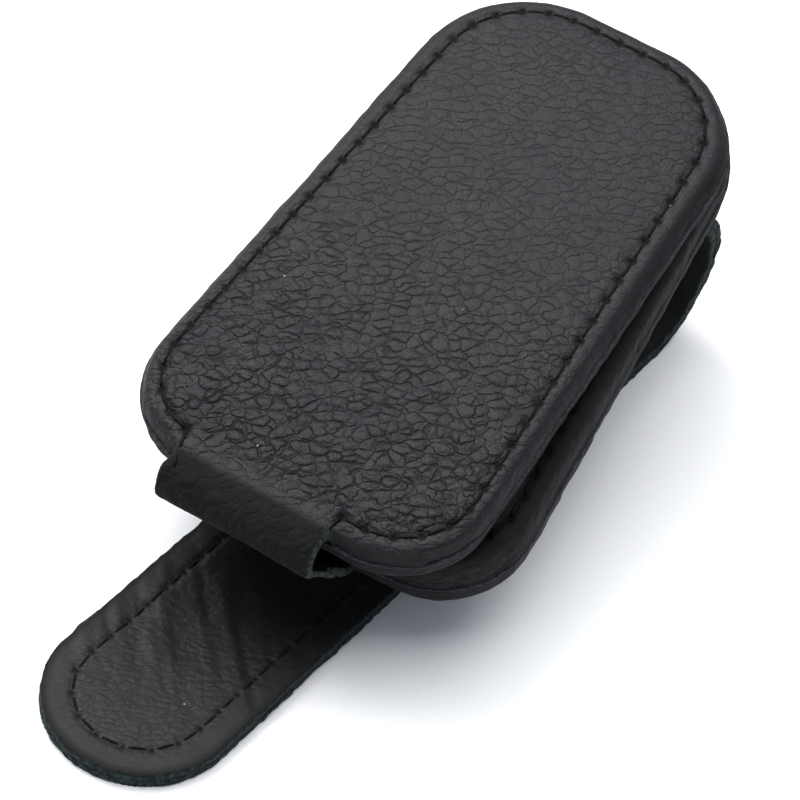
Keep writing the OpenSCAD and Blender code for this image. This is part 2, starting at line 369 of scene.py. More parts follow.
def swell(form, thick, pressure):
    """Where the coarse pad's points were and how far they moved, in mm."""
    only(form)
    bpy.ops.object.duplicate()
    coarse = bpy.context.object
    coarse.scale = (10, 10, 10)
    bpy.ops.object.transform_apply(scale=True)
    coarse.data.remesh_voxel_size = 0.014
    bpy.ops.object.voxel_remesh()
    before = points(coarse) / 10
    inside, along = edge_measure(before[:, :2], trim_of(form))
    held = (np.abs(inside - SEAM_IN) < 0.75) | (np.abs(before[:, 2]) < 0.7)
    group = coarse.vertex_groups.new(name="held")
    group.add([int(i) for i in np.nonzero(held)[0]], 1.0, "REPLACE")
    m = coarse.modifiers.new("cloth", "CLOTH")
    s = m.settings
    s.quality, s.mass, s.air_damping = 5, 0.4, 2.0
    s.tension_stiffness = s.compression_stiffness = 20
    s.shear_stiffness, s.bending_stiffness = 10, 2.0
    s.use_pressure, s.uniform_pressure_force = True, pressure
    s.vertex_group_mass, s.pin_stiffness = "held", 1.0
    s.effector_weights.gravity = 0
    m.collision_settings.use_self_collision = False
    m.point_cache.frame_start, m.point_cache.frame_end = 1, 20
    for f in range(1, 21):
        bpy.context.scene.frame_set(f)
    only(coarse)
    bpy.ops.object.modifier_apply(modifier="cloth")
    moved = points(coarse) / 10 - before
    bpy.context.scene.frame_set(1)
    bpy.data.objects.remove(coarse)
    size = np.linalg.norm(moved, axis=1)
    print(form.name, "coarse points:", len(before), "largest swell, mm:", round(size.max(), 2))
    return before, moved


def hand_on(obj, before, moved, cap):
    """Moves obj's points as the coarse points near them moved, never further than cap mm."""
    tree = KDTree(len(before))
    for i, p in enumerate(before):
        tree.insert(p, i)
    tree.balance()
    co = points(obj)
    shift = np.zeros_like(co)
    for k, p in enumerate(co):
        near = tree.find_n(p, 4)
        w = np.array([1 / (n[2] + 0.05) for n in near])
        if near[0][2] < 1.6:
            shift[k] = (moved[[n[1] for n in near]] * w[:, None]).sum(0) / w.sum()
    size = np.linalg.norm(shift, axis=1)[:, None] + 1e-9
    set_points(obj, co + shift / size * cap * np.tanh(size / cap))


# %% [markdown]
# Each pad is cut at its seam into the two leathers that meet there. A voxel remesh gives each
# half an even mesh, rounds the turned edge at the seam a little, and melts the fold's band into
# the flap's top leather, so that they are one skin.


# %% Cut a pad at its seam and remesh the halves
def half_of(form, name, up, extra=None, voxel=0.42):
    only(form)
    bpy.ops.object.duplicate()
    half = bpy.context.object
    half.name = name
    pick(half, "FACE", lambda c, n: True)
    bpy.ops.mesh.bisect(plane_co=(0, 0, 0.03 * MM * up), plane_no=(0, 0, up), clear_inner=True)
    bpy.ops.mesh.select_mode(type="EDGE")
    bpy.ops.mesh.select_all(action="DESELECT")
    bpy.ops.mesh.select_non_manifold()
    bpy.ops.mesh.edge_face_add()
    bpy.ops.mesh.select_all(action="SELECT")
    bpy.ops.mesh.normals_make_consistent(inside=False)
    bpy.ops.object.mode_set(mode="OBJECT")
    if extra:
        only(half, extra)
        bpy.ops.object.join()
    half.data.remesh_voxel_size = voxel * MM
    bpy.ops.object.voxel_remesh()
    if extra:
        # the step where the band meets the pad's border is rubbed smooth
        pick(half, "VERT", lambda c, n: -45.5 < c.x < -33 and c.z > -1.2
             and (8.6 < abs(c.y - FOLD_SIDE) < 13.8 or c.x > -39.5))
        bpy.ops.mesh.vertices_smooth(factor=0.5, repeat=14)
        bpy.ops.object.mode_set(mode="OBJECT")
        pick(half, "VERT", lambda c, n: c.x < -41 and abs(c.y - FOLD_SIDE) > FOLD_W / 2 - 1.8)
        bpy.ops.mesh.vertices_smooth(factor=0.5, repeat=7)
        bpy.ops.object.mode_set(mode="OBJECT")
    bpy.ops.object.shade_smooth()
    return half


def seam_edge(form, name, height, proud, seed):
    """The turned edges of two leathers, seen at the seam as a thin lip right round the pad."""
    only(form)
    bpy.ops.object.duplicate()
    ring = bpy.context.object
    ring.name = name
    for up in (1, -1):
        pick(ring, "FACE", lambda c, n: True)
        bpy.ops.mesh.bisect(plane_co=(0, 0, up * height / 2 * MM), plane_no=(0, 0, up),
                            clear_outer=True)
        bpy.ops.object.mode_set(mode="OBJECT")
    m = ring.modifiers.new("lip", "SOLIDIFY")
    m.thickness, m.offset = (proud + 0.5) * MM, (proud - 0.5) / (proud + 0.5)
    apply_all(ring)
    ring.data.remesh_voxel_size = 0.19 * MM
    bpy.ops.object.voxel_remesh()
    co = points(ring)
    inside, along = edge_measure(co[:, :2], trim_of(form))
    co[:, 2] += field(np.c_[along, 0 * along], 4.5, seed) * 0.12 \
        + field(np.c_[along, 0 * along], 1.6, seed + 1) * 0.06
    co += normals(ring) * (field(co, 1.2, seed + 2) * 0.05)[:, None]
    set_points(ring, co)
    bpy.ops.object.shade_smooth()
    note(ring, "cut", co)
    # the whole lip is marked raw, so it takes the pale colours of a cut edge: painted highlight
    # along the seam
    note(ring, "raw", np.ones(len(co)))
    print(name, "points:", len(co))
    return ring


# %% [markdown]
# The fine shape is then worked like clay, by moving points along their normals: a groove under
# the thread with a deeper pit at each needle hole, upright gathers where the leather is drawn
# round the edge to the seam, a crease at the seam itself, and slow waves over the top.


# %% Stitch places, grooves, pits, gathers
def seam_stops(middle, trim=0.0):
    """Places along the seam line where the needle went through."""
    p = outline(SEAM_IN, 0.05, trim)[0]
    keep = [i for i in range(len(p))
            if not (p[i][0] < NEAR_X - 3 and abs(p[i][1] - middle) < FOLD_W / 2)]
    length = len(keep) * 0.05
    count = round(length / PITCH)
    idx = [keep[min(round(k * length / count / 0.05), len(keep) - 1)] for k in range(count + 1)]
    return p[idx]


def in_fold(co):
    """1 where a point belongs to the fold's band, fading to 0 inside the pad's end."""
    side = np.clip((FOLD_W / 2 + 0.6 - np.abs(co[:, 1] - FOLD_SIDE)) / 0.6, 0, 1)
    return side * np.clip((-39.6 - co[:, 0]) / 2.0, 0, 1)


def work(obj, thick, up, seed, holes, floor=None):
    """up is 1 for a top leather and -1 for a bottom one. floor is the lowest it may reach."""
    co, no = points(obj), normals(obj)
    inside, along = edge_measure(co[:, :2], trim_of(obj))
    half = thick / 2
    fold = in_fold(co) if obj.name == "flap_outer_skin" else np.zeros(len(co))
    outer = (co[:, 2] * up > 0.12) & (fold < 1)
    flat = np.clip((no[:, 2] * up - 0.3) / 0.5, 0, 1) * outer
    lift = (field(co, 11, seed) * 0.10 + field(co, 5, seed + 1) * 0.05) * flat
    line = np.exp(-((inside - SEAM_IN) / 0.42) ** 2) * flat * (1 - fold)
    line[(np.abs(co[:, 1] - FOLD_SIDE) < FOLD_W / 2) & (co[:, 0] < NEAR_X - 3)] = 0
    lift -= 0.20 * line
    tree = KDTree(len(holes))
    for i, h in enumerate(holes):
        tree.insert((h[0], h[1], 0), i)
    tree.balance()
    pit = np.zeros(len(co))
    for k in np.nonzero((np.abs(inside - SEAM_IN) < 1.6) & (flat > 0.2))[0]:
        d = tree.find((co[k][0], co[k][1], 0))[2]
        pit[k] = min(1.0, 1.25 * math.exp(-(d / 0.66) ** 2)) * flat[k]
        lift[k] -= (0.52 * math.exp(-(d / 0.52) ** 2) + 0.10 * math.exp(-(d / 1.2) ** 2)) * flat[k]
    note(obj, "pit", np.maximum(pit, 0.5 * line))
    if fold.any():
        # creases fan out from the two notches, where the neck leaves the pad
        for ny in (FOLD_SIDE + FOLD_W / 2, FOLD_SIDE - FOLD_W / 2):
            dx, dy = co[:, 0] + 42.3, co[:, 1] - ny
            r, a = np.hypot(dx, dy), np.arctan2(dy, dx)
            fan = field(np.c_[a * 3.2, r * 0.22], 1.0, seed + 7) * np.exp(-(r / 4.6) ** 2)
            lift += fan * 0.30 * np.clip(r / 0.8, 0, 1)
        lift += fold * field(co * (1, 0.35, 1), 2.2, seed + 8) * 0.12
        lift += fold * field(co * (1, 0.7, 1), 4.5, seed + 9) * 0.30
    rim = np.clip(1 - np.abs(inside) / (half * 1.1), 0, 1) * (1 - flat) * outer * (1 - fold)
    lift += rim * (field(np.c_[along, co[:, 2] * 0.18], 1.35, seed + 2) * 0.11
                   + field(np.c_[along, co[:, 2] * 0.3], 2.9, seed + 3) * 0.10)
    border = np.clip(1 - np.abs(inside - 1.4) / 1.6, 0, 1) * flat * (1 - fold)
    lift += border * (0.07 + 0.05 * field(np.c_[along, inside], 3.2, seed + 4))
    co = co + no * lift[:, None]
    if floor is not None:
        co[:, 2] = np.where(co[:, 2] * up > floor, floor * up, co[:, 2])
    set_points(obj, co)
    print(obj.name, "points:", len(co), "lift, mm:", round(lift.min(), 2), round(lift.max(), 2))


# %% Build the flap and the base
flap_holes = seam_stops(FOLD_SIDE)
base_holes = seam_stops(FOLD_SIDE + FLAP_SIDE, BASE_TRIM)
# on the flap the thread also turns down each side of the neck for a stitch or two
near = flap_holes[0]
far = flap_holes[-1]
flap_holes = np.vstack([[near + (-2.6, 0.3)], flap_holes,
                        [far + (-2.8, -0.9), far + (-5.4, -1.7)]])
flap_form = pad_form("flap_form", FLAP_T, 2.5, 1.3, 0.3)
base_form = pad_form("base_form", BASE_T, 1.5, 2.0, 0.2, BASE_TRIM)
band = fold_band(FOLD_W, FOLD_SIDE)
place(band, Matrix.Rotation(-FLAP_DIP, 4, "Y") @ move(0, 0, -FLAP_Z))
flap_top = half_of(flap_form, "flap_outer_skin", 1, band)
flap_under = half_of(flap_form, "flap_inner_skin", -1)
base_top = half_of(base_form, "base_upper_skin", 1)
base_under = half_of(base_form, "base_lower_skin", -1)
for form, thick, halves in ((flap_form, FLAP_T, (flap_top, flap_under)),
                            (base_form, BASE_T, (base_top, base_under))):
    before, moved = swell(form, thick, 4.0)
    for h in halves:
        hand_on(h, before, moved, 0.45)
work(flap_top, FLAP_T, 1, 11, flap_holes)
work(flap_under, FLAP_T, -1, 23, flap_holes[1:-2], FLAP_T / 2 + 0.05)
work(base_top, BASE_T, 1, 31, base_holes, BASE_T / 2 + 0.05)
work(base_under, BASE_T, -1, 47, base_holes, BASE_T / 2 + 0.03)
# towards the fold the base's foam rises, and nearly fills the wedge under the flap
co = points(base_top)
rise = 1 + 0.8 * (BODY_LEN / 2 - co[:, 0]) * math.tan(FLAP_DIP) / (BASE_T / 2)
co[:, 2] = np.where(co[:, 2] > 0, co[:, 2] * rise, co[:, 2])
set_points(base_top, co)
flap_seam = seam_edge(flap_form, "flap_seam_edge", 0.26, 0.20, 83)
base_seam = seam_edge(base_form, "base_seam_edge", 0.26, 0.22, 89)
for o in (flap_form, base_form):
    bpy.data.objects.remove(o)

# %% [markdown]
# The strap is two strips of leather with a flat spring steel glued and sewn between them. Its
# edges are cut and left raw. Each strip is a flat bar whose far end is spun about the bend's
# middle, so that the long arm and the U bend are one piece of leather, as they really are.


# %% Strap leathers
def strap_strip(name, z0, z1, voxel):
    bpy.ops.mesh.primitive_cube_add(size=MM)
    strip = bpy.context.object
    strip.name = name
    strip.scale = (ARM_LEN, STRAP_W, z1 - z0)
    strip.location = Vector((BEND_X - ARM_LEN / 2, 0, (z0 + z1) / 2)) * MM
    only(strip)
    bpy.ops.object.transform_apply(location=True, scale=True)
    pick(strip, "EDGE", lambda c, d: abs(d.z) > 0.9 and c.x < 0)
    bpy.ops.mesh.bevel(offset=(STRAP_W / 2 - 0.01) * MM, segments=20, affect="EDGES")
    bpy.ops.object.mode_set(mode="OBJECT")
    pick(strip, "FACE", lambda c, n: n.x > 0.9)
    bpy.ops.mesh.spin(steps=30, angle=math.pi + GAPE, center=Vector((BEND_X, 0, BEND_R)) * MM,
                      axis=(0, 1, 0))
    bpy.ops.object.mode_set(mode="OBJECT")
    pick(strip, "FACE", lambda c, n: True)
    bpy.ops.mesh.remove_doubles(threshold=0.001 * MM)
    bpy.ops.mesh.normals_make_consistent(inside=False)
    bpy.ops.object.mode_set(mode="OBJECT")
    strip.data.remesh_voxel_size = voxel * MM
    only(strip)
    bpy.ops.object.voxel_remesh()
    bpy.ops.object.shade_smooth()
    return strip


def mount_strip(name, z0, z1):
    bpy.ops.mesh.primitive_cube_add(size=MM)
    strip = bpy.context.object
    strip.name = name
    strip.scale = (FIX_TO_BEND + 10, STRAP_W, z1 - z0)
    strip.location = Vector((FIX_TO_BEND / 2 - 5, 0, (z0 + z1) / 2)) * MM
    only(strip)
    bpy.ops.object.transform_apply(location=True, scale=True)
    pick(strip, "EDGE", lambda c, d: abs(d.z) > 0.9 and c.x < 0)
    bpy.ops.mesh.bevel(offset=2.5 * MM, segments=6, affect="EDGES")
    bpy.ops.object.mode_set(mode="OBJECT")
    strip.data.remesh_voxel_size = 0.45 * MM
    only(strip)
    bpy.ops.object.voxel_remesh()
    bpy.ops.object.shade_smooth()
    return strip


strap_under = strap_strip("strap_outer_skin", 0.0, 1.2, 0.42)
strap_top = strap_strip("strap_inner_skin", 1.2, 2.4, 0.36)
mount_outer = mount_strip("mount_outer_skin", -1.2, -0.02)
mount_inner = mount_strip("mount_inner_skin", -2.4, -1.2)
print("strap points:", len(strap_under.data.vertices), len(strap_top.data.vertices))

# %% [markdown]
# The tongue is sewn close to its edge. Where the strap leaves the body its top leather has been
# bent many times, and fine creases run across it on the slant.

# %% Strap thread line, needle pits and creases
STRAP_SEAM = 3.9
TIP_X = BEND_X - ARM_LEN
TIP_C = TIP_X + STRAP_W / 2


def strap_line(x_end):
    """Needle places along the strap's seam, from one side round the tip to the other."""
    r = STRAP_W / 2 - STRAP_SEAM
    side = np.arange(x_end, TIP_C, -0.05)
    a = np.linspace(-math.pi / 2, -1.5 * math.pi, int(math.pi * r / 0.05))
    path = np.vstack([np.c_[side, -r + 0 * side],
                      np.c_[TIP_C + r * np.cos(a), r * np.sin(a)],
                      np.c_[side[::-1], r + 0 * side]])
    n = round(len(path) * 0.05 / PITCH)
    return path[np.linspace(0, len(path) - 1, n + 1).astype(int)]


strap_holes = strap_line(BEND_X - 4)


def strap_inside(co):
    """How far inside the strap's edge each point is."""
    tip = STRAP_W / 2 - np.hypot(co[:, 0] - TIP_C, co[:, 1])
    return np.where(co[:, 0] < TIP_C, tip, STRAP_W / 2 - np.abs(co[:, 1]))


def work_strap(obj, up, seed):
    co, no = points(obj), normals(obj)
    face = np.clip((no[:, 2] * up - 0.3) / 0.5, 0, 1) * (co[:, 2] < 2.7)
    inside = strap_inside(co)
    line = np.exp(-((inside - STRAP_SEAM) / 0.40) ** 2) * face * (co[:, 0] < BEND_X - 3)
    lift = -0.17 * line
    tree = KDTree(len(strap_holes))
    for i, h in enumerate(strap_holes):
        tree.insert((h[0], h[1], 0), i)
    tree.balance()
    pit = np.zeros(len(co))
    for k in np.nonzero((np.abs(inside - STRAP_SEAM) < 1.4) & (face > 0.2))[0]:
        d = tree.find((co[k][0], co[k][1], 0))[2]
        pit[k] = math.exp(-(d / 0.5) ** 2) * face[k]
        lift[k] -= 0.28 * math.exp(-(d / 0.42) ** 2) * face[k]
    note(obj, "pit", np.maximum(pit, 0.4 * line))
    slant = math.radians(48)
    u = co[:, 0] * math.cos(slant) + co[:, 1] * math.sin(slant)
    v = -co[:, 0] * math.sin(slant) + co[:, 1] * math.cos(slant)
    bent = np.exp(-((co[:, 0] + 41 + 0.35 * co[:, 1]) / 10.5) ** 2)
    q = np.c_[u * 0.16, v, 0 * v]
    lift += face * bent * (field(q, 1.15, seed) * 0.17 + field(q, 2.3, seed + 1) * 0.24)
    lift += face * (field(co, 7, seed + 2) * 0.09 + field(co, 3.0, seed + 3) * 0.04)
    edge = np.clip(1 - inside / 1.3, 0, 1) * face
    lift += edge * (field(np.c_[co[:, :2], 0 * v], 1.6, seed + 4) * 0.12 - 0.10)
    raw = 1 - np.clip(np.abs(no[:, 2]) / 0.7, 0, 1)
    side = raw * (np.abs(no[:, 1]) > 0.4)
    lift += np.where(co[:, 2] < 2.7, raw, side) * (field(co, 0.9, seed + 5) * 0.17
                                                  + field(co, 3.5, seed + 6) * 0.16)
    if up < 0:
        lift = np.where((no[:, 2] < -0.5) & (co[:, 2] < 0.5), np.minimum(lift, 0), lift)
    set_points(obj, co + no * lift[:, None])


work_strap(strap_top, 1, 61)
work_strap(strap_under, -1, 71)

# %% [markdown]
# One stitch is modelled and then copied to every place. A stitch is a short run of waxed
# thread: it rises out of one needle hole, lies on the leather and dives into the next. A ring
# of six points is extruded along that arch and narrowed at both ends.


# %% One stitch
def one_stitch(length, r):
    bpy.ops.mesh.primitive_circle_add(vertices=6, radius=r * MM, fill_type="NGON",
                                      rotation=(0, math.pi / 2, 0))
    st = bpy.context.object
    st.name = "stitch"
    only(st)
    st.location = Vector((-length / 2, 0, -0.42)) * MM
    bpy.ops.object.transform_apply(location=True, rotation=True)
    bpy.ops.object.mode_set(mode="EDIT")
    bpy.ops.mesh.select_all(action="SELECT")
    steps = [(0.10, 0.28, 1.15), (0.22, 0.20, 1.15), (0.42, 0.07, 1.0), (0.52, 0, 1.0),
             (0.42, -0.07, 1.0), (0.22, -0.20, 0.87), (0.10, -0.28, 0.87)]
    total = sum(s[0] for s in steps)
    for dx, dz, grow in steps:
        bpy.ops.mesh.extrude_region_move(
            TRANSFORM_OT_translate={"value": Vector((dx / total * length, 0, dz)) * MM})
        bpy.ops.transform.resize(value=(1, grow, grow))
    bpy.ops.mesh.select_all(action="SELECT")
    bpy.ops.mesh.normals_make_consistent(inside=False)
    bpy.ops.object.mode_set(mode="OBJECT")
    bpy.ops.object.shade_smooth()
    return st


def surface_z(obj, xy, up):
    """Height of obj's face above each point, seen from the side up."""
    tree = BVHTree.FromObject(obj, bpy.context.evaluated_depsgraph_get())
    out = []
    for x, y in xy:
        hit = tree.ray_cast(Vector((x, y, up * 40)) * MM, Vector((0, 0, -up)))
        out.append(hit[0].z / MM if hit[0] else 0)
    return np.array(out)


def sew(name, skin, holes, up, length, r=0.25, sink=0.0):
    """Copies of the stitch between neighbouring holes, resting on skin, joined to one piece."""
    model = one_stitch(length, r)
    copies = []
    mid = (holes[:-1] + holes[1:]) / 2
    step = holes[1:] - holes[:-1]
    z = surface_z(skin, mid, up)
    rng = np.random.default_rng(len(name))
    for m, s, h in zip(mid, step, z):
        if np.hypot(*s) > PITCH * 1.6:
            continue
        c = model.copy()
        c.data = model.data.copy()
        bpy.context.scene.collection.objects.link(c)
        turn = math.atan2(s[1], s[0]) + rng.uniform(-0.05, 0.05)
        c.matrix_world = (Matrix.Translation(Vector((m[0], m[1], h - sink * up)) * MM)
                          @ Matrix.Rotation(turn, 4, "Z")
                          @ Matrix.Rotation(0 if up > 0 else math.pi, 4, "X"))
        copies.append(c)
    bpy.data.objects.remove(model)
    only(*copies)
    bpy.ops.object.transform_apply(location=True, rotation=True, scale=True)
    bpy.ops.object.join()
    bpy.context.object.name = name
    print(name, "stitches:", len(copies))
    return bpy.context.object


LIE = 2.5
flap_thread = sew("flap_thread_top", flap_top, flap_holes, 1, LIE, r=0.19, sink=0.16)
flap_thread_low = sew("flap_thread_under", flap_under, flap_holes[1:-2], -1, LIE, sink=0.10)
base_thread = sew("base_thread_top", base_top, base_holes, 1, LIE, sink=0.10)
base_thread_low = sew("base_thread_under", base_under, base_holes, -1, LIE, sink=0.10)
strap_thread = sew("strap_thread_top", strap_top, strap_holes, 1, 2.7, r=0.16, sink=0.14)
strap_thread_low = sew("strap_thread_under", strap_under, strap_holes, -1, 2.7, r=0.2, sink=0.25)

# %% [markdown]
# Every leather below reads its pattern in millimetres of the flat piece, from a vector stored
# on the mesh before the piece is tilted into place. That keeps the grain in step from the top of
# the flap on to the fold, whatever way the piece lies.

# %% Store pattern positions, then carry each piece to its place
for o in (flap_top, flap_under, base_top, base_under):
    co = points(o)
    inside, along = edge_measure(co[:, :2], trim_of(o))
    if o.name == "base_upper_skin":
        # the same tint stands in for the shade in the gap under the flap
        inside = inside - 3.2
    note(o, "cut", co)
    note(o, "inside", inside)
    note(o, "along", along)
for o in (strap_top, strap_under, mount_outer, mount_inner):
    note(o, "cut", points(o))
    note(o, "inside", strap_inside(points(o)))
    note(o, "along", points(o)[:, 0])
side = normals(flap_top)[:, 1]
raw = in_fold(points(flap_top)) * np.clip((np.where(side < 0, -side, side - 0.3) - 0.5) / 0.3, 0, 1)
note(flap_top, "raw", raw)
for o in (flap_under, base_top, base_under):
    note(o, "raw", np.zeros(len(o.data.vertices)))
for o in (strap_top, strap_under):
    co, no = points(o), normals(o)
    arm = np.clip((0.78 - np.abs(no[:, 2])) / 0.25, 0, 1)
    bend = np.clip((np.abs(no[:, 1]) - 0.45) / 0.3, 0, 1)
    note(o, "raw", np.where(co[:, 2] < 2.6, arm, bend))
for o in (mount_outer, mount_inner):
    note(o, "raw", np.clip((0.78 - np.abs(normals(o)[:, 2])) / 0.25, 0, 1))

for o in (flap_top, flap_under, flap_thread, flap_thread_low, flap_seam):
    place(o, FLAP)
for o in (base_top, base_under, base_thread, base_thread_low, base_seam):
    place(o, BASE)
for o in (mount_outer, mount_inner):
    place(o, MOUNT)

# %% [markdown]
# Each piece now rides on the body that it belongs to. Two of them cross a joint: the flap's top
# leather, which runs on below the fold, and the strap's leathers, which run from the arm round the
# bend to the body. These have their place baked into the mesh and ride on no body.


for o, body, slot, nodes in (
        (flap_under, "flap", "grain_leather", ("flap_inner_leather",)),
        (flap_thread, "flap", "thread", ("flap_stitching",)),
        (flap_thread_low, "flap", "thread", ("flap_stitching",)),
        (base_top, "base", "grain_leather", ("base_upper_leather",)),
        (base_under, "base", "grain_leather", ("base_lower_leather",)),
        (base_thread, "base", "thread", ("base_stitching",)),
        (base_thread_low, "base", "thread", ("base_stitching",)),
        (mount_outer, "base", "strap_leather", ("mount_outer_leather",)),
        (mount_inner, "base", "strap_leather", ("mount_inner_leather",)),
        (strap_thread, "strap", "thread", ("arm_stitching",)),
        (strap_thread_low, "strap", "thread", ("arm_stitching",))):
    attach(o, body)
    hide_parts(*nodes)
for o, body in ((flap_seam, "flap"), (base_seam, "base")):
    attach(o, body)
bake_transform(flap_top)
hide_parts("flap_outer_leather", "fold_leather")
for o, nodes in ((strap_under, ("arm_outer_leather", "bend_outer_leather")),
                 (strap_top, ("arm_inner_leather", "bend_inner_leather"))):
    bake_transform(o)
    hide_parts(*nodes)
# the steel in the bend, spun round the bend's middle like the leather round it
bpy.ops.mesh.primitive_cube_add(size=MM)
bend_spring = bpy.context.object
bend_spring.name = "bend_spring"
bend_spring.scale = (0.1, 17, 0.44)
bend_spring.location = Vector((BEND_X - 0.05, 0, 1.2)) * MM
only(bend_spring)
bpy.ops.object.transform_apply(location=True, scale=True)
pick(bend_spring, "FACE", lambda c, n: n.x > 0.9)
bpy.ops.mesh.spin(steps=40, angle=math.pi + GAPE, center=Vector((BEND_X, 0, BEND_R)) * MM,
                  axis=(0, 1, 0))
bpy.ops.object.mode_set(mode="OBJECT")
pick(bend_spring, "FACE", lambda c, n: True)
bpy.ops.mesh.remove_doubles(threshold=0.001 * MM)
bpy.ops.mesh.normals_make_consistent(inside=False)
bpy.ops.object.mode_set(mode="OBJECT")
bpy.ops.object.shade_smooth_by_angle(angle=math.radians(40))
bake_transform(bend_spring)
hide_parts("bend_steel")

# %% [markdown]
# Colours are written as sRGB hex, as a paint chart gives them, and one function turns them into
# the linear values that Blender's shaders expect. A second small function adds a node.


# %% Colour and node helpers
def colour(code, alpha=True):
    """Linear red, green and blue (and alpha) of an sRGB hex code."""
    parts = [int(code[i:i + 2], 16) / 255 for i in (0, 2, 4)]
    linear = [c / 12.92 if c <= 0.04045 else ((c + 0.055) / 1.055) ** 2.4 for c in parts]
    return (*linear, 1.0) if alpha else tuple(linear)


def new_material(name):
    mat = bpy.data.materials.new(name)
    mat.use_nodes = True
    return mat, mat.node_tree.nodes["Principled BSDF"]


def add(mat, kind, settings=None, links=None):
    """Adds one node. settings name its properties or inputs, and links feed its inputs."""
    node = mat.node_tree.nodes.new("ShaderNode" + kind)
    for key, value in (settings or {}).items():
        if isinstance(key, str) and hasattr(node, key):
            setattr(node, key, value)
    for key, value in (settings or {}).items():
        if not (isinstance(key, str) and hasattr(node, key)):
            node.inputs[key].default_value = value
    for key, socket in (links or {}).items():
        mat.node_tree.links.new(socket, node.inputs[key])
    return node


def ramp(mat, fac, stops):
    """A colour ramp through the (place, hex) stops."""
    node = add(mat, "ValToRGB", links={"Fac": fac})
    bar = node.color_ramp
    while len(bar.elements) < len(stops):
        bar.elements.new(0.5)
    for e, (at, code) in zip(bar.elements, stops):
        e.position, e.color = at, colour(code)
    return node.outputs["Color"]


# %% [markdown]
# The body is wrapped in a chrome-tanned calf leather with a printed pebble grain, dyed a black
# that has greyed a little. The pebbles are about 2 mm long and drawn out along one direction of
# the hide, with fine dark creases between them. A Voronoi pattern's distance to the nearest cell
# edge is zero in a crease, and gives the creases. The distance to the cell's middle gives each
# pebble its low dome. A noise pushes the pattern about first, so that no cell looks drawn with a
# ruler. The creases open and close along their length, and show most where they run across.


